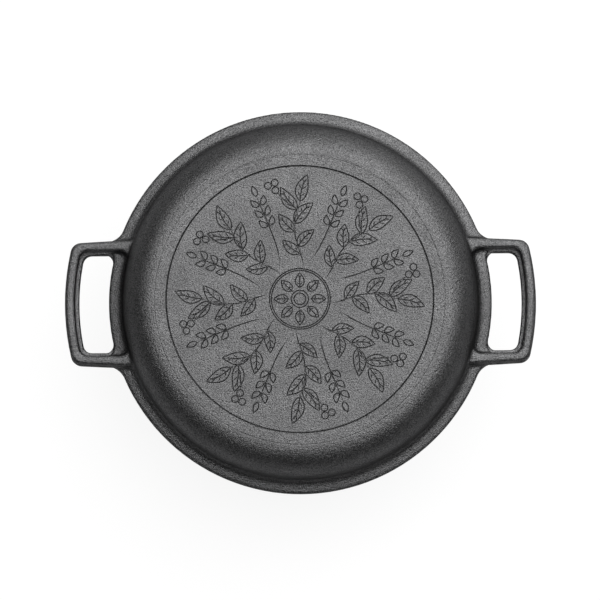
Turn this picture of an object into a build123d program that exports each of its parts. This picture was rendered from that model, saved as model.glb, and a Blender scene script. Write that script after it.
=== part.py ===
from build123d import *

import os
from math import radians, tan

# Cast iron pot with a skillet that serves as its lid, turned upside down on the rim.
# Millimetres. Origin at the centre of the pot's foot, +Z up, handles along X.

# Shared by both castings
mouth_radius = 125.4        # inside of the wall at the mouth
wall = 5.0                  # iron thickness of the side walls
flange_width = 10.2          # how far the flanges stand out from the wall
edge_round = 1.4            # rounding of the flange arrises
seat_round = 0.8            # rounding where the castings face each other
arris = 0.4                 # rounding of the small machined edges
web_blend = 4.5             # hollow between wall and flange

# Pot
pot_height = 105.0          # foot to rim plane
pot_floor = 5.5
pot_flange = 6.0
pot_draft = 3.0             # degrees, wall leaning in towards the floor
pot_corner = 32.0           # outside radius between wall and floor
pot_foot_margin = 3.0       # flat left between corner and foot ring
pot_foot_width = 8.0
pot_foot_rise = 1.2

# Skillet lid
lid_height = 42.0           # rim plane to foot ring
lid_floor = 5.0
lid_flange = 5.0
lid_draft = 6.0             # degrees
lid_corner = 23.3
lid_ring_margin = 0.3       # flat left between corner and foot ring
lid_ring_width = 8.1
lid_ring_rise = 0.5
lid_ring_round = 0.2

# Seat of the lid in the pot's mouth
spigot_width = 2.6
spigot_height = 3.0
seat_clearance = 0.6

# Loop handles, cast in one with the flanges
finger_gap = 22.2           # from the rim out to the pot's grip bar
finger_half_width = 35.9    # half the opening along the rim, pot handle
pot_bar_width = 10.4        # grip bar, measured outwards
side_bar_width = 10.5       # where the side bars leave the rim
side_slope = 3.0            # degrees, side bars closing outwards
grip_corner = 8.0           # outside corners in plan
opening_corner = 6.6        # inside corners in plan
web_radius = 15.0           # between flange edge and handle in plan
web_inset = 0.5             # webs start this far inside the bars' flanks
handle_relief = 0.8         # each handle stands back from the rim plane
pot_bar_depth = 12.0        # down from the rim plane
lid_bar_height = 10.0       # up from the rim plane
lid_inset_inside = 2.3      # lid's bars stand back from the pot's at the opening
lid_inset_outside = 0.7
flare_outside = 4.0         # where the bars meet the wall, in plan
flare_inside = 7.0
bar_round = 2.3             # rounding along the far side of the bars
root_sink = 1.0             # how deep the bars are let into the wall

wall_radius = mouth_radius + wall
rim_radius = wall_radius + flange_width
rebate_radius = mouth_radius + spigot_width + seat_clearance
root_radius = wall_radius - root_sink


def half_width_at(x, inset):
    return finger_half_width + side_bar_width - inset - tan(radians(side_slope)) * (x - rim_radius)


def at_radius(radius):
    return lambda v: abs(Vector(v.X, v.Y).length - radius) < 0.01


def both_sides(shape):
    return shape + mirror(shape, Plane.YZ)


def grip_outline(inset):
    """Plan of one handle from the axis outwards, before its opening is cut."""
    reach = rim_radius + finger_gap + pot_bar_width - inset
    near = half_width_at(0, inset)
    far = half_width_at(reach, inset)
    wedge = Polygon((0, -near), (reach, -far), (reach, far), (0, near), align=None)
    outline = wedge & Circle(reach)
    corners = outline.vertices().filter_by(lambda v: v.X > rim_radius)
    return fillet(corners, grip_corner)


def opening_band(inset):
    """Strip that a finger opening is cut from, bounded outside by the grip bar."""
    radius = rim_radius + finger_gap + inset
    half = finger_half_width + inset
    return Polygon((0, -half), (radius, -half), (radius, half), (0, half), align=None) & Circle(radius)


def web_plan(inset_outside, inset_inside):
    """Flange with both handles and the webs that run into them, openings cut."""
    plan = Circle(rim_radius) + both_sides(grip_outline(inset_outside))
    plan = fillet(plan.vertices().filter_by(at_radius(rim_radius)), web_radius)
    opening = opening_band(inset_inside) - Circle(rim_radius)
    return plan - both_sides(fillet(opening.vertices(), opening_corner))


def bars_plan(inset_outside, inset_inside):
    """The loops alone, run in over the flange to the wall with a flare at each root."""
    band = opening_band(inset_inside)
    band = fillet(band.vertices().filter_by(lambda v: v.X > rim_radius), opening_corner)
    plan = both_sides(grip_outline(inset_outside)) - both_sides(band) + Circle(root_radius)
    inside = finger_half_width + inset_inside + 0.01
    roots = plan.vertices().filter_by(at_radius(root_radius))
    plan = fillet(roots.filter_by(lambda v: abs(v.Y) < inside), flare_inside)
    roots = plan.vertices().filter_by(at_radius(root_radius))
    return fillet(roots.filter_by(lambda v: abs(v.Y) > inside), flare_outside)


def plate(plan, height, far_round):
    """Plan raised from the relief plane, the near and far arrises of its outline rounded."""
    solid = extrude(Plane.XY.offset(handle_relief) * plan, amount=height - handle_relief)
    solid = fillet(solid.edges().group_by(Axis.Z)[-1], far_round)
    solid = fillet(solid.edges().group_by(Axis.Z)[0], seat_round)
    mouth = Cylinder((root_radius + rebate_radius) / 2, 4 * height)     # well past both faces
    return solid - mouth


def handles(inset_outside, inset_inside, flange, height):
    """Two loops with their webs, rising from the rim plane at height 0."""
    webs = plate(web_plan(inset_outside + web_inset, inset_inside + web_inset), flange, edge_round)
    bars = plate(bars_plan(inset_outside, inset_inside), height, bar_round)
    return webs + bars


def turned(outline):
    """Solid of revolution from (radius, height, rounding) corners, starting and ending on the axis."""
    corners = [(r, z) for r, z, _ in outline]
    rounds = [rounding for _, _, rounding in outline[1:-1]]
    with BuildSketch(Plane.XZ) as section:
        with BuildLine():
            FilletPolyline(*corners, radius=rounds)
            Line(corners[-1], corners[0])
        make_face()
    return revolve(section.sketch, Axis.Z)


def drawn_in(height, draft):
    return height * tan(radians(draft))


def corner_start(base_radius, corner, draft):
    """Radius at which the rounding between a flat base and its drafted wall begins."""
    return base_radius - corner * tan(radians(45 - draft / 2))


def skillet_lid():
    """Skillet upside down, its rim plane at height 0 and its base above."""
    base = lid_height - lid_ring_rise
    ceiling = base - lid_floor
    base_radius = wall_radius - drawn_in(base - lid_flange, lid_draft)
    ring_radius = corner_start(base_radius, lid_corner, lid_draft) - lid_ring_margin
    spigot_radius = mouth_radius + spigot_width
    pan = turned([
        (0, base, 0),
        (ring_radius - lid_ring_width, base, 0),
        (ring_radius - lid_ring_width, lid_height, lid_ring_round),
        (ring_radius, lid_height, lid_ring_round),
        (ring_radius, base, 0),
        (base_radius, base, lid_corner),
        (wall_radius, lid_flange, web_blend),
        (rim_radius, lid_flange, edge_round),
        (rim_radius, 0, seat_round),
        (spigot_radius, 0, 0),
        (spigot_radius, -spigot_height, arris),
        (mouth_radius, -spigot_height, arris),
        (mouth_radius - drawn_in(ceiling + spigot_height, lid_draft), ceiling, lid_corner - wall),
        (0, ceiling, 0),
    ])
    return pan + handles(lid_inset_outside, lid_inset_inside, lid_flange, lid_bar_height)


def pot():
    """Pot with its rim plane at height 0 and its foot below."""
    base = pot_foot_rise - pot_height
    floor = base + pot_floor
    base_radius = wall_radius - drawn_in(-pot_flange - base, pot_draft)
    foot_radius = corner_start(base_radius, pot_corner, pot_draft) - pot_foot_margin
    rebate = spigot_height + seat_clearance
    kettle = turned([
        (0, floor, 0),
        (mouth_radius - drawn_in(-rebate - floor, pot_draft), floor, pot_corner - wall),
        (mouth_radius, -rebate, arris),
        (rebate_radius, -rebate, arris),
        (rebate_radius, 0, arris),
        (rim_radius, 0, seat_round),
        (rim_radius, -pot_flange, edge_round),
        (wall_radius, -pot_flange, web_blend),
        (base_radius, base, pot_corner),
        (foot_radius, base, 0),
        (foot_radius, -pot_height, arris),
        (foot_radius - pot_foot_width, -pot_height, arris),
        (foot_radius - pot_foot_width, base, 0),
        (0, base, 0),
    ])
    return kettle + mirror(handles(0, 0, pot_flange, pot_bar_depth), Plane.XY)


os.makedirs("parts", exist_ok=True)
rim_plane = Pos(0, 0, pot_height)
for name, casting in (("pot", pot()), ("skillet_lid", skillet_lid())):
    casting = rim_plane * casting
    export_step(casting, f"parts/{name}.step")
    print(name, len(casting.solids()), "solid", len(casting.faces()), "faces", round(casting.volume / 1000), "cm3")
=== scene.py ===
import math

import bmesh
import bpy
import numpy as np
from mathutils import Matrix, Vector
from mathutils.geometry import delaunay_2d_cdt


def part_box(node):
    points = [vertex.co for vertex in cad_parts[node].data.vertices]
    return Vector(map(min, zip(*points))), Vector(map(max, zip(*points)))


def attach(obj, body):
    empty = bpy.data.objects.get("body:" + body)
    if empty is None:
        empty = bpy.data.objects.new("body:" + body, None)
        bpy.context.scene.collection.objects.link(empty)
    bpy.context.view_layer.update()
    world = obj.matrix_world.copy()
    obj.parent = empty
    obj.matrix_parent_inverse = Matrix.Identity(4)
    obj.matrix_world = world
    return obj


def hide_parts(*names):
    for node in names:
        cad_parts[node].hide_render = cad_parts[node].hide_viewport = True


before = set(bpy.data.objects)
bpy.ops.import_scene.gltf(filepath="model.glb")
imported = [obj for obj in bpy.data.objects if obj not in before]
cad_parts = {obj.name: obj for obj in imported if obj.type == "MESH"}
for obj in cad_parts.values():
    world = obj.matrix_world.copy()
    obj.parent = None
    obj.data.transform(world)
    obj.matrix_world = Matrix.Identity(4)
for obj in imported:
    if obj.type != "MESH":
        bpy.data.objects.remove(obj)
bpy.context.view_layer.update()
mm = 0.001
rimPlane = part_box("pot")[1].z
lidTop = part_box("skillet_lid")[1].z


def linked(name, data):
    made = bpy.data.objects.new(name, data)
    bpy.context.scene.collection.objects.link(made)
    return made


def applied(piece, name):
    # The modified shape as a plain mesh under a new object
    graph = bpy.context.evaluated_depsgraph_get()
    mesh = bpy.data.meshes.new_from_object(piece.evaluated_get(graph))
    mesh.name = name
    bpy.data.objects.remove(piece)
    return linked(name, mesh)


camera = {
    "height": 2.95,               # above the rim plane, metres
    "offset": (0.024, -0.195),    # from straight above the middle
    "pixel": 0.0007345,           # what one pixel of the picture covers at the rim
    "rimMiddle": (299.8, 302.2),  # where the picture shows the middle of the rim
    "roll": 0.405,                # degrees
    "pictureMiddle": 299.5,
    "pictureWidth": 600,
    "sensor": 36,
    "farthest": 50,
}


def makeCamera():
    middle = Vector((0, 0, rimPlane))
    shownAt = camera["rimMiddle"]
    shift = Vector((camera["pictureMiddle"] - shownAt[0], shownAt[1] - camera["pictureMiddle"], 0))
    target = middle + shift * camera["pixel"]
    place = middle + Vector((*camera["offset"], camera["height"]))
    data = bpy.data.cameras.new("camera")
    data.sensor_width = camera["sensor"]
    data.lens = data.sensor_width * (place - target).length / (camera["pictureWidth"] * camera["pixel"])
    data.clip_end = camera["farthest"]
    shooter = linked("camera", data)
    back = (place - target).normalized()
    roll = math.radians(camera["roll"])
    right = Vector((math.sin(roll), math.cos(roll), 0)).cross(back).normalized()
    up = back.cross(right)
    shooter.matrix_world = Matrix.Translation(place) @ Matrix((right, up, back)).transposed().to_4x4()
    bpy.context.scene.camera = shooter
    print("camera: lens", round(data.lens, 1))


studio = {
    # Softboxes aimed at the rim: degrees from the zenith and from +Y, then metres
    "overheadBox": {"tilt": 21, "bearing": 28, "distance": 1.6,
                    "width": 1.85, "depth": 1.85, "radiance": 4.3},
    "sideBox": {"tilt": 74, "bearing": 26, "distance": 2.4,
                "width": 2.4, "depth": 1.1, "radiance": 1.6},
    "worldGrey": 0.05,
    "floorGrey": 0.12,
    "floorRoughness": 0.9,
    "floorShown": 0.9,            # what the camera and reflections see of an unlit floor
    "floorReach": 20,             # metres, each way
}


def makeSoftbox(name):
    box = studio[name]
    data = bpy.data.lights.new(name, "AREA")
    data.shape = "RECTANGLE"
    data.size = box["width"]
    data.size_y = box["depth"]
    data.energy = box["radiance"] * math.pi * box["width"] * box["depth"]
    lamp = linked(name, data)
    tilt = math.radians(box["tilt"])
    bearing = math.radians(box["bearing"])
    aside = math.sin(tilt)
    away = Vector((aside * math.sin(bearing), aside * math.cos(bearing), math.cos(tilt)))
    lamp.location = Vector((0, 0, rimPlane)) + away * box["distance"]
    lamp.rotation_mode = "QUATERNION"
    lamp.rotation_quaternion = away.to_track_quat("Z", "Y")


def makeWorld():
    world = bpy.data.worlds.new("studio")
    bpy.context.scene.world = world
    world.use_nodes = True
    background = world.node_tree.nodes["Background"]
    background.inputs["Color"].default_value = (1, 1, 1, 1)
    background.inputs["Strength"].default_value = studio["worldGrey"]


def makeFloor():
    far = studio["floorReach"]
    corners = [(-far, -far, 0), (far, -far, 0), (far, far, 0), (-far, far, 0)]
    mesh = bpy.data.meshes.new("floor")
    mesh.from_pydata(corners, [], [(0, 1, 2, 3)])
    floor = linked("floor", mesh)
    material = bpy.data.materials.new("paleFloor")
    material.use_nodes = True
    tree = material.node_tree
    shader = tree.nodes["Principled BSDF"]
    shader.inputs["Base Color"].default_value = (studio["floorGrey"],) * 3 + (1,)
    shader.inputs["Roughness"].default_value = studio["floorRoughness"]
    shader.inputs["Specular IOR Level"].default_value = 0
    shader.inputs["Emission Color"].default_value = (1, 1, 1, 1)
    path = tree.nodes.new("ShaderNodeLightPath")
    glossy = tree.nodes.new("ShaderNodeMath")
    glossy.operation = "MAXIMUM"
    seen = tree.nodes.new("ShaderNodeMath")
    seen.operation = "MAXIMUM"
    shown = tree.nodes.new("ShaderNodeMath")
    shown.operation = "MULTIPLY"
    shown.inputs[1].default_value = studio["floorShown"]
    tree.links.new(path.outputs["Is Camera Ray"], glossy.inputs[0])
    tree.links.new(path.outputs["Is Glossy Ray"], glossy.inputs[1])
    tree.links.new(glossy.outputs[0], seen.inputs[0])
    tree.links.new(path.outputs["Is Transmission Ray"], seen.inputs[1])
    tree.links.new(seen.outputs[0], shown.inputs[0])
    tree.links.new(shown.outputs[0], shader.inputs["Emission Strength"])
    mesh.materials.append(material)
    print("studio: floor and lights")


def sockets(tree, way, kinds):
    for name, kind in kinds.items():
        tree.interface.new_socket(name=name, in_out=way, socket_type="NodeSocket" + kind)


def mapped(tree, source, low, high, toLow=0, toHigh=1):
    node = tree.nodes.new("ShaderNodeMapRange")
    values = {"From Min": low, "From Max": high, "To Min": toLow, "To Max": toHigh}
    for name, value in values.items():
        node.inputs[name].default_value = value
    tree.links.new(source, node.inputs["Value"])
    return node.outputs["Result"]


castSkin = {
    "pitBottom": 0.25,            # noise value at the bottom of a pit
    "pitBrim": 0.45,
    "pitHeight": 0.3 * mm,        # where a material's Pit Depth is 1
    "grainHeight": 0.4 * mm,
}


def makeGrainGroup():
    # Sand grain and pits as a normal, with masks for tone and gloss
    tree = bpy.data.node_groups.new("sandCastSkin", "ShaderNodeTree")
    sockets(tree, "INPUT", {"Vector": "Vector", "Grain Scale": "Float", "Grain Depth": "Float",
                            "Pit Scale": "Float", "Pit Depth": "Float", "Patch Scale": "Float"})
    sockets(tree, "OUTPUT", {"Normal": "Vector", "Grain": "Float", "Patches": "Float"})
    given = tree.nodes.new("NodeGroupInput")
    out = tree.nodes.new("NodeGroupOutput")

    def noise(scaleName, detail, roughness):
        node = tree.nodes.new("ShaderNodeTexNoise")
        node.inputs["Detail"].default_value = detail
        node.inputs["Roughness"].default_value = roughness
        tree.links.new(given.outputs["Vector"], node.inputs["Vector"])
        tree.links.new(given.outputs[scaleName], node.inputs["Scale"])
        return node.outputs["Fac"]

    def bump(height, depthName, distance):
        node = tree.nodes.new("ShaderNodeBump")
        node.inputs["Distance"].default_value = distance
        tree.links.new(given.outputs[depthName], node.inputs["Strength"])
        tree.links.new(height, node.inputs["Height"])
        return node

    grain = noise("Grain Scale", detail=2, roughness=0.6)
    pits = noise("Pit Scale", detail=1, roughness=0.5)
    patches = noise("Patch Scale", detail=4, roughness=0.6)
    pitMask = mapped(tree, pits, castSkin["pitBottom"], castSkin["pitBrim"])
    pitBump = bump(pitMask, "Pit Depth", castSkin["pitHeight"])
    grainBump = bump(grain, "Grain Depth", castSkin["grainHeight"])
    tree.links.new(pitBump.outputs["Normal"], grainBump.inputs["Normal"])
    tree.links.new(grainBump.outputs["Normal"], out.inputs["Normal"])
    tree.links.new(grain, out.inputs["Grain"])
    tree.links.new(patches, out.inputs["Patches"])
    return tree


iron = {
    "darkTone": (0.030, 0.030, 0.031, 1),
    "lightTone": (0.163, 0.163, 0.165, 1),
    "darkGrain": 0.3,             # grain mask that is all dark
    "lightGrain": 0.7,
    "edgeTint": (0.28, 0.28, 0.28, 1),    # raw castings shine little at a glancing angle
    "smoothRoughness": 0.40,
    "dullRoughness": 0.50,
    "smoothPatch": 0.35,          # patch mask that is all smooth
    "dullPatch": 0.65,
    # Scales count the grains, pits or patches along a metre
    "lid": {"Grain Scale": 1250, "Grain Depth": 0.9, "Pit Scale": 420, "Pit Depth": 0.4, "Patch Scale": 34},
    "pot": {"Grain Scale": 1150, "Grain Depth": 0.9, "Pit Scale": 380, "Pit Depth": 0.4, "Patch Scale": 28},
}


def makeIron(name, skin, values):
    material = bpy.data.materials.new(name)
    material.use_nodes = True
    tree = material.node_tree
    shader = tree.nodes["Principled BSDF"]
    shader.inputs["Metallic"].default_value = 1
    shader.inputs["Specular Tint"].default_value = iron["edgeTint"]
    coordinates = tree.nodes.new("ShaderNodeTexCoord")
    grain = tree.nodes.new("ShaderNodeGroup")
    grain.node_tree = skin
    for key, value in values.items():
        grain.inputs[key].default_value = value
    tree.links.new(coordinates.outputs["Object"], grain.inputs["Vector"])
    tone = tree.nodes.new("ShaderNodeMix")
    tone.data_type = "RGBA"
    tone.inputs["A"].default_value = iron["darkTone"]
    tone.inputs["B"].default_value = iron["lightTone"]
    lightness = mapped(tree, grain.outputs["Grain"], iron["darkGrain"], iron["lightGrain"])
    roughness = mapped(tree, grain.outputs["Patches"], iron["smoothPatch"], iron["dullPatch"],
                       iron["smoothRoughness"], iron["dullRoughness"])
    tree.links.new(lightness, tone.inputs["Factor"])
    tree.links.new(tone.outputs["Result"], shader.inputs["Base Color"])
    tree.links.new(roughness, shader.inputs["Roughness"])
    tree.links.new(grain.outputs["Normal"], shader.inputs["Normal"])
    return material


casting = {
    "weld": 0.01 * mm,            # joins the loose triangles of the copied node
    "voxel": 1.0 * mm,
    "smoothing": 3,
    "triangles": 150000,
    "fillFrom": 122 * mm,         # hollows are filled outside this radius
    "seatMargin": 2.5 * mm,       # and no closer to the rim plane than this
    "hollowRadius": 5 * mm,
    "fillSteps": 60,
    "fillRate": 0.8,
    "normalsEvery": 4,            # steps
    "flangeSlope": 9,             # degrees, both flanges fall off outwards
    "slopeFrom": 2 * mm,          # from the rim plane, where the slope sets in
    "slopeRun": 2 * mm,           # and how much further on it is full
    "flangeDepth": 6.5 * mm,      # from the rim plane, where it ends
    "wallRadius": 130.4 * mm,
    "rimRadius": 140.6 * mm,
    "finalWeld": 0.002 * mm,
    "sharpEdge": 24,              # degrees, and shaded smooth below that
}


def slopeFlange(mesh, side):
    # side is 1 where the flange stands above the rim plane and -1 below it
    fall = math.tan(math.radians(casting["flangeSlope"]))
    width = casting["rimRadius"] - casting["wallRadius"]
    for vertex in mesh.vertices:
        height = (vertex.co.z - rimPlane) * side
        radius = math.hypot(vertex.co.x, vertex.co.y)
        outwards = min(max(radius - casting["wallRadius"], 0), width)
        if casting["slopeFrom"] < height < casting["flangeDepth"]:
            share = min((height - casting["slopeFrom"]) / casting["slopeRun"], 1)
            vertex.co.z -= side * fall * outwards * share


def fillHollows(mesh):
    # Rounds the hollow corners outside the wall, as a sand casting has them
    count = len(mesh.vertices)
    place = np.empty(count * 3)
    normal = np.empty(count * 3)
    ends = np.empty(len(mesh.edges) * 2, int)
    mesh.vertices.foreach_get("co", place)
    mesh.edges.foreach_get("vertices", ends)
    place = place.reshape(-1, 3)
    one, other = ends.reshape(-1, 2).T
    degree = np.bincount(one, minlength=count) + np.bincount(other, minlength=count)
    outside = np.hypot(place[:, 0], place[:, 1]) > casting["fillFrom"]
    free = outside & (abs(place[:, 2] - rimPlane) > casting["seatMargin"])
    limit = casting["voxel"] ** 2 / (4 * casting["hollowRadius"])
    for step in range(casting["fillSteps"]):
        if step % casting["normalsEvery"] == 0:
            mesh.vertices.foreach_set("co", place.ravel())
            mesh.update()
            mesh.vertices.foreach_get("normal", normal)
        around = np.empty_like(place)
        for axis in range(3):
            fromOther = np.bincount(one, place[other, axis], count)
            around[:, axis] = fromOther + np.bincount(other, place[one, axis], count)
        pull = ((around / degree[:, None] - place) * normal.reshape(-1, 3)).sum(1) - limit
        move = np.maximum(pull, 0) * free * casting["fillRate"]
        place += normal.reshape(-1, 3) * move[:, None]
    mesh.vertices.foreach_set("co", place.ravel())
    mesh.update()


def castPiece(node, name, side, flatten=None):
    # One skin over a copy of the node, softened like a casting; side as in slopeFlange
    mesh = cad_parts[node].data.copy()
    work = bmesh.new()
    work.from_mesh(mesh)
    bmesh.ops.remove_doubles(work, verts=work.verts, dist=casting["weld"])
    if flatten:
        for vertex in work.verts:
            vertex.co.z = min(vertex.co.z, flatten)
    work.to_mesh(mesh)
    work.free()
    slopeFlange(mesh, side)
    piece = linked(name, mesh)
    remesh = piece.modifiers.new("skin", "REMESH")
    remesh.mode = "VOXEL"
    remesh.voxel_size = casting["voxel"]
    remesh.use_smooth_shade = True
    smooth = piece.modifiers.new("soften", "SMOOTH")
    smooth.iterations = casting["smoothing"]
    piece = applied(piece, name)
    fillHollows(piece.data)
    faces = len(piece.data.polygons)
    thin = piece.modifiers.new("thin", "DECIMATE")
    thin.ratio = min(casting["triangles"] / (2 * faces), 1)
    piece = applied(piece, name)
    print("casting:", name, faces, "faces, thinned to", len(piece.data.polygons))
    return piece


leaf = {
    "steps": 14,                  # along each edge
    "widest": 0.8,                # below 1 brings the widest place nearer to the foot
    "fullness": 0.9,              # below 1 fills out both ends
    # The rest are shares of the leaf's length, or of its width where that is said
    "bow": 0.06,
    "rib": (-0.12, 0.1, 0.3, 0.5, 0.7, 0.84),
    "firstVein": 0.2,
    "veinSpan": 0.5,              # from the first vein to the last
    "veinRun": 0.15,
    "veinFoot": 0.05,             # off the rib, of the width
    "veinReach": 0.34,            # off the rib at the vein's end, of the width
    "veinAhead": 0.1,             # a vein reaches as the leaf swells this far on
    "veinKnee": (0.07, 0.6),      # how far on, and how much of the reach
}

wreath = {
    # Motifs are in millimetres and degrees, one spray running outwards along +X
    "sprays": 8,
    "stem": [(24, -3), (30, -1.6), (37, 0.8), (44, 2.8), (51, 3.6), (58, 3.2), (65, 1.6), (71, -0.6)],
    "leaves": [                   # foot, heading, length, width
        ((33, -0.4), 52, 16, 7.6),
        ((38, 1.2), -44, 17, 7.8),
        ((49, 3.5), 42, 17, 8.6),
        ((55, 3.4), -42, 20, 9.0),
        ((65, 1.6), 36, 20, 8.6),
        ((71, -0.6), -16, 20, 8.8),
    ],
    "berries": [(79, 17.2), (84.6, 17.6), (82.4, 22.6)],
    "berryRadius": 2.5,
    "berrySteps": 14,
    "berryShine": [(0.7, 0.9), (1.2, 0.2)],    # a short stroke off a berry's middle
    "berryStem": [(65, 1.8), (70, 8.5), (74.5, 13.6), (77.2, 15.6)],
    "earFoot": 57,                # from the plate's middle, halfway between two stems
    "earLength": 24,
    "earStalk": [(-25, 2.4), (-18, 1.0), (-9, 0.2), (0, 0)],
    "grainPairs": 3,
    "grainAhead": 0.6,            # of its place on the stalk
    "grainAside": 1.0,
    "grainLean": 34,
    "grainLength": 7.4,
    "grainWidth": 4.0,
    "grainBow": 0.1,
    "topGrainLength": 8.0,
    "topGrainWidth": 3.8,
    "petal": ((8.4, 0), 0, 10.5, 6.4),    # as a leaf
    "petalVeins": 2,
    "rosetteRings": (4.2, 6.2, 20.6, 22.0),    # radii
    "rosetteSteps": 72,
    "grooveWidth": 0.9 * mm,
    "grooveDepth": 0.4 * mm,
    "grooveTaper": 1.6 * mm,      # an open end runs out over this length
    "grooveTip": 0.25,            # share of the groove left at an open end
}


def placed(origin, heading, points):
    # From (forward, left) of a motif to the plate
    c = math.cos(math.radians(heading))
    s = math.sin(math.radians(heading))
    return [(origin[0] + f * c - l * s, origin[1] + f * s + l * c) for f, l in points]


def spine(t, length, bow):
    return bow * length * math.sin(math.pi * t)


def swell(t):
    return math.sin(math.pi * t ** leaf["widest"])


def leafEdges(origin, heading, length, width, bow):
    strokes = []
    for side in (-1, 1):
        edge = []
        for i in range(leaf["steps"] + 1):
            t = i / leaf["steps"]
            aside = side * width / 2 * swell(t) ** leaf["fullness"]
            edge.append((t * length, spine(t, length, bow) + aside))
        strokes.append(placed(origin, heading, edge))
    return strokes


def leafStrokes(origin, heading, length, width, veins=3, bow=leaf["bow"]):
    strokes = [[(t * length, spine(t, length, bow)) for t in leaf["rib"]]]
    kneeRun, kneeReach = leaf["veinKnee"]
    for i in range(veins):
        t = leaf["firstVein"] + leaf["veinSpan"] * i / max(veins - 1, 1)
        reach = width * leaf["veinReach"] * swell(min(t + leaf["veinAhead"], 1))
        rib = spine(t, length, bow)
        for side in (-1, 1):
            strokes.append([(t * length, rib + side * leaf["veinFoot"] * width),
                            ((t + kneeRun) * length, rib + side * reach * kneeReach),
                            ((t + leaf["veinRun"]) * length, rib + side * reach)])
    inside = [placed(origin, heading, stroke) for stroke in strokes]
    return leafEdges(origin, heading, length, width, bow) + inside


def circleStroke(centre, radius, steps):
    points = []
    for i in range(steps + 1):
        turn = 2 * math.pi * i / steps
        points.append((centre[0] + radius * math.cos(turn), centre[1] + radius * math.sin(turn)))
    return points


def earStrokes(origin, heading):
    length = wreath["earLength"]
    ahead = wreath["grainAhead"]
    stalk = wreath["earStalk"] + [(length / 2, 0), (length - ahead, 0)]
    strokes = [placed(origin, heading, stalk)]
    for i in range(wreath["grainPairs"]):
        forward = length * i / wreath["grainPairs"]
        for side in (-1, 1):
            foot = placed(origin, heading, [(forward + ahead, side * wreath["grainAside"])])[0]
            strokes += leafEdges(foot, heading + side * wreath["grainLean"],
                                 wreath["grainLength"], wreath["grainWidth"], side * wreath["grainBow"])
    tip = placed(origin, heading, [(length, 0)])[0]
    return strokes + leafEdges(tip, heading, wreath["topGrainLength"], wreath["topGrainWidth"], 0)


def sprayStrokes():
    # One of the wreath's sprays, with the ear beside it and its petal of the rosette
    strokes = [wreath["stem"]]
    for motif in wreath["leaves"]:
        strokes += leafStrokes(*motif)
    for x, y in wreath["berries"]:
        strokes.append(circleStroke((x, y), wreath["berryRadius"], wreath["berrySteps"]))
        strokes.append([(x + dx, y + dy) for dx, dy in wreath["berryShine"]])
    strokes.append(wreath["berryStem"])
    half = math.pi / wreath["sprays"]
    foot = (wreath["earFoot"] * math.cos(half), wreath["earFoot"] * math.sin(half))
    strokes += earStrokes(foot, math.degrees(half))
    return strokes + leafStrokes(*wreath["petal"], veins=wreath["petalVeins"], bow=0)


def makeWreathTree():
    # Repeats the strokes it is given round the Z axis
    tree = bpy.data.node_groups.new("roundWreath", "GeometryNodeTree")
    sockets(tree, "INPUT", {"Strokes": "Geometry", "Repeats": "Int", "Material": "Material"})
    sockets(tree, "OUTPUT", {"Wreath": "Geometry"})
    given = tree.nodes.new("NodeGroupInput")
    out = tree.nodes.new("NodeGroupOutput")
    line = tree.nodes.new("GeometryNodeMeshLine")
    line.inputs["Offset"].default_value = (0, 0, 0)
    index = tree.nodes.new("GeometryNodeInputIndex")
    share = tree.nodes.new("ShaderNodeMath")
    share.operation = "DIVIDE"
    turn = tree.nodes.new("ShaderNodeMath")
    turn.operation = "MULTIPLY"
    turn.inputs[1].default_value = 2 * math.pi
    angles = tree.nodes.new("ShaderNodeCombineXYZ")
    repeat = tree.nodes.new("GeometryNodeInstanceOnPoints")
    real = tree.nodes.new("GeometryNodeRealizeInstances")
    paint = tree.nodes.new("GeometryNodeSetMaterial")
    tree.links.new(given.outputs["Repeats"], line.inputs["Count"])
    tree.links.new(index.outputs[0], share.inputs[0])
    tree.links.new(given.outputs["Repeats"], share.inputs[1])
    tree.links.new(share.outputs[0], turn.inputs[0])
    tree.links.new(turn.outputs[0], angles.inputs["Z"])
    tree.links.new(line.outputs[0], repeat.inputs["Points"])
    tree.links.new(given.outputs["Strokes"], repeat.inputs["Instance"])
    tree.links.new(angles.outputs[0], repeat.inputs["Rotation"])
    tree.links.new(repeat.outputs[0], real.inputs[0])
    tree.links.new(real.outputs[0], paint.inputs["Geometry"])
    tree.links.new(given.outputs["Material"], paint.inputs["Material"])
    tree.links.new(paint.outputs[0], out.inputs[0])
    return tree


def wreathSegments(material):
    # Every short straight piece of the whole wreath, as pairs of points
    vertices = []
    edges = []
    for stroke in sprayStrokes():
        first = len(vertices)
        vertices += [(x * mm, y * mm, 0) for x, y in stroke]
        edges += [(first + i, first + i + 1) for i in range(len(stroke) - 1)]
    mesh = bpy.data.meshes.new("spray")
    mesh.from_pydata(vertices, edges, [])
    piece = linked("spray", mesh)
    modifier = piece.modifiers.new("wreath", "NODES")
    modifier.node_group = makeWreathTree()
    for item in modifier.node_group.interface.items_tree:
        if item.name == "Repeats":
            modifier[item.identifier] = wreath["sprays"]
        if item.name == "Material":
            modifier[item.identifier] = material
    piece = applied(piece, "wreath")
    found = []
    for edge in piece.data.edges:
        found.append([Vector(piece.data.vertices[i].co.xy) for i in edge.vertices])
    bpy.data.objects.remove(piece)
    return found


def joined(segments):
    # Strings segments end to end into strokes
    def key(point):
        return (round(point.x, 7), round(point.y, 7))    # to a tenth of a micrometre

    ends = {}
    for number, segment in enumerate(segments):
        for point in segment:
            ends.setdefault(key(point), []).append(number)
    used = set()
    strokes = []
    starts = [n for n, s in enumerate(segments) if any(len(ends[key(p)]) == 1 for p in s)]
    for start in starts + list(range(len(segments))):
        if start in used:
            continue
        used.add(start)
        a, b = segments[start]
        if len(ends[key(a)]) != 1:
            a, b = b, a
        stroke = [a, b]
        while True:
            following = [n for n in ends[key(stroke[-1])] if n not in used]
            if len(following) != 1:
                break
            used.add(following[0])
            a, b = segments[following[0]]
            stroke.append(b if key(a) == key(stroke[-1]) else a)
        strokes.append(stroke)
    return strokes


def isClosed(stroke):
    return (stroke[0] - stroke[-1]).length < lidBase["samePoint"]


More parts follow.
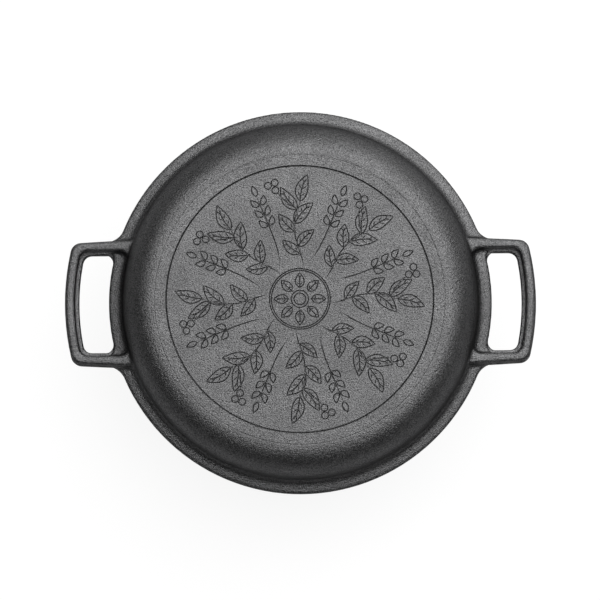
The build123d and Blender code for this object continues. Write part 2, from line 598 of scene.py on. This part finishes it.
def grooveHalves(stroke):
    # Half the groove's width at each point of a stroke
    full = wreath["grooveWidth"] / 2
    if isClosed(stroke):
        return [full] * len(stroke)
    lengths = [0]
    for a, b in zip(stroke, stroke[1:]):
        lengths.append(lengths[-1] + (b - a).length)
    tip = wreath["grooveTip"]
    fromEnd = [min(s, lengths[-1] - s) / wreath["grooveTaper"] for s in lengths]
    return [full * max(min(s + tip, 1), tip) for s in fromEnd]


def grooveLanes(stroke, halves):
    # The groove's two edges, with its bottom between them
    lanes = [[], [], []]
    closed = isClosed(stroke)
    for i, point in enumerate(stroke):
        before = stroke[i - 1] if i else (stroke[-2] if closed else point)
        after = stroke[i + 1] if i + 1 < len(stroke) else (stroke[1] if closed else point)
        along = (after - before).normalized()
        across = Vector((-along.y, along.x)) * halves[i]
        for lane, place in zip(lanes, (point - across, point, point + across)):
            lane.append(place)
    return lanes


lidBase = {
    "level": lidTop - 0.5 * mm,   # flat of the lid's base
    "ringInside": 97.2 * mm,
    "ringOutside": 105.3 * mm,
    "ringEdge": 0.25 * mm,        # how far the ring's flanks lean
    "grooveWidth": 0.95 * mm,     # turned in just inside the ring
    "grooveDepth": 0.4 * mm,
    "creaseWidth": 0.8 * mm,      # outside the ring, where it meets the corner
    "creaseDepth": 0.22 * mm,
    "corner": 23.3 * mm,          # radius between base and wall
    "cut": 106.6 * mm,            # the base is its own plate out to here
    "circleSteps": 360,
    "samePoint": 0.0001 * mm,     # points closer than this are one
    "thickness": 1.6 * mm,
    "pocketDepth": 1.2 * mm,
    "pocketHeight": 20 * mm,      # well past the top
    "overlap": 0.1 * mm,          # the plate's edge goes this far into the casting
}


def baseLevel(radius):
    # Height of the uncarved base at a radius
    level = lidBase["level"]
    if radius > lidBase["ringOutside"]:
        beyond = radius - lidBase["ringOutside"]
        crease = lidBase["creaseDepth"] * max(1 - beyond / lidBase["creaseWidth"], 0)
        return level - beyond ** 2 / (2 * lidBase["corner"]) - crease
    if radius > lidBase["ringInside"]:
        rise = min((radius - lidBase["ringInside"]) / lidBase["ringEdge"], 1)
        fall = min((lidBase["ringOutside"] - radius) / lidBase["ringEdge"], 1)
        return level + (lidTop - level) * min(rise, fall)
    half = lidBase["grooveWidth"] / 2
    fromGroove = abs(lidBase["ringInside"] - half - radius)
    return level - lidBase["grooveDepth"] * max(1 - fromGroove / half, 0)


def baseCircles():
    # Radii at which the base's slope changes, the plate's own edge last
    inside = lidBase["ringInside"]
    outside = lidBase["ringOutside"]
    groove = lidBase["grooveWidth"]
    lean = lidBase["ringEdge"]
    return (inside - groove, inside - groove / 2, inside, inside + lean,
            outside - lean, outside, outside + lidBase["creaseWidth"], lidBase["cut"])


def grooveDips(points, segments):
    # How deep the grooves cut at each point, by the deepest where they cross
    places = np.array([tuple(point) for point in points])
    parts = np.array(segments)
    dips = np.zeros(len(places))
    batch = 200                   # segments at a time, to spare memory
    tiny = 1e-14
    for start in range(0, len(parts), batch):
        part = parts[start:start + batch]
        a = part[None, :, 0:2]
        ab = part[None, :, 2:4] - a
        ap = places[:, None, :] - a
        t = np.clip((ap * ab).sum(2) / np.maximum((ab * ab).sum(2), tiny), 0, 1)
        gap = np.linalg.norm(ap - t[..., None] * ab, axis=2)
        half = part[None, :, 4] * (1 - t) + part[None, :, 5] * t
        full = wreath["grooveDepth"] * half / (wreath["grooveWidth"] / 2)
        dips = np.maximum(dips, (full * np.clip(1 - gap / half, 0, 1)).max(1))
    return dips


def plateShell(vertices, faces):
    # The carved surface with a wall and an underside, closed
    work = bmesh.new()
    made = [work.verts.new(v) for v in vertices]
    for face in faces:
        work.faces.new([made[i] for i in face])
    bmesh.ops.recalc_face_normals(work, faces=work.faces)
    if sum(f.normal.z for f in work.faces) < 0:
        bmesh.ops.reverse_faces(work, faces=work.faces)
    rim = [e for e in work.edges if e.is_boundary]
    walls = bmesh.ops.extrude_edge_only(work, edges=rim)["geom"]
    for part in walls:
        if isinstance(part, bmesh.types.BMVert):
            part.co.z = lidBase["level"] - lidBase["thickness"]
    bmesh.ops.contextual_create(work, geom=[e for e in work.edges if e.is_boundary])
    bmesh.ops.recalc_face_normals(work, faces=work.faces)
    mesh = bpy.data.meshes.new("carvedBase")
    work.to_mesh(mesh)
    work.free()
    return linked("carvedBase", mesh)


def carvedPlate(material):
    strokes = joined(wreathSegments(material))
    for radius in wreath["rosetteRings"]:
        ring = circleStroke((0, 0), radius, wreath["rosetteSteps"])
        strokes.append([Vector(p) * mm for p in ring])
    points = []
    edges = []
    segments = []
    for stroke in strokes:
        halves = grooveHalves(stroke)
        count = len(stroke)
        for i in range(count - 1):
            segments.append((*stroke[i], *stroke[i + 1], halves[i], halves[i + 1]))
        for lane in grooveLanes(stroke, halves):
            first = len(points)
            points += lane
            edges += [(first + i, first + i + 1) for i in range(count - 1)]
        if not isClosed(stroke):
            left = len(points) - 3 * count
            for end in (left, left + count - 1):
                edges += [(end, end + count), (end + count, end + 2 * count)]
    steps = lidBase["circleSteps"]
    for radius in baseCircles():
        first = len(points)
        points += [Vector(p) for p in circleStroke((0, 0), radius, steps)[:-1]]
        edges += [(first + i, first + (i + 1) % steps) for i in range(steps)]
    flat, _, faces, _, _, _ = delaunay_2d_cdt(points, edges, [], 0, lidBase["samePoint"])
    print("carving:", len(strokes), "strokes,", len(flat), "points,", len(faces), "faces")
    vertices = []
    for (x, y), dip in zip(flat, grooveDips(flat, segments)):
        vertices.append((x, y, baseLevel(math.hypot(x, y)) - dip))
    return plateShell(vertices, faces)


def makePocket():
    # What is cut out of the lid's casting to let the plate in
    mesh = bpy.data.meshes.new("pocket")
    work = bmesh.new()
    radius = lidBase["cut"] - lidBase["overlap"]
    middle = lidBase["level"] - lidBase["pocketDepth"] + lidBase["pocketHeight"] / 2
    bmesh.ops.create_cone(work, cap_ends=True, segments=lidBase["circleSteps"],
                          radius1=radius, radius2=radius, depth=lidBase["pocketHeight"],
                          matrix=Matrix.Translation((0, 0, middle)))
    work.to_mesh(mesh)
    work.free()
    return linked("pocket", mesh)


def boolean(piece, other, operation):
    cut = piece.modifiers.new(operation, "BOOLEAN")
    cut.object = other
    cut.operation = operation
    cut.solver = "MANIFOLD"


def finish(piece, material, body, node):
    piece.data.materials.clear()
    piece.data.materials.append(material)
    work = bmesh.new()
    work.from_mesh(piece.data)
    bmesh.ops.remove_doubles(work, verts=work.verts, dist=casting["finalWeld"])
    bmesh.ops.triangulate(work, faces=[f for f in work.faces if len(f.verts) > 4])
    for face in work.faces:
        face.smooth = True
        face.material_index = 0
    sharp = math.radians(casting["sharpEdge"])
    for edge in work.edges:
        edge.smooth = not edge.is_manifold or edge.calc_face_angle() < sharp
    work.to_mesh(piece.data)
    print("piece:", piece.name, "open edges", sum(1 for e in work.edges if not e.is_manifold),
          "triangles", sum(len(f.verts) - 2 for f in work.faces))
    work.free()
    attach(piece, body)
    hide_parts(node)


def makeLid(material):
    lid = castPiece("skillet_lid", "skilletLid", 1, lidBase["level"])
    plate = carvedPlate(material)
    pocket = makePocket()
    boolean(lid, pocket, "DIFFERENCE")
    boolean(lid, plate, "UNION")
    lid = applied(lid, "skilletLid")
    bpy.data.objects.remove(pocket)
    bpy.data.objects.remove(plate)
    finish(lid, material, "lid", "skillet_lid")


def makePot(material):
    finish(castPiece("pot", "ironPot", -1), material, "pot", "pot")


makeCamera()
makeSoftbox("overheadBox")
makeSoftbox("sideBox")
makeWorld()
makeFloor()
skin = makeGrainGroup()
makeLid(makeIron("lidIron", skin, iron["lid"]))
makePot(makeIron("potIron", skin, iron["pot"]))

bpy.context.scene.view_settings.view_transform = "Standard"
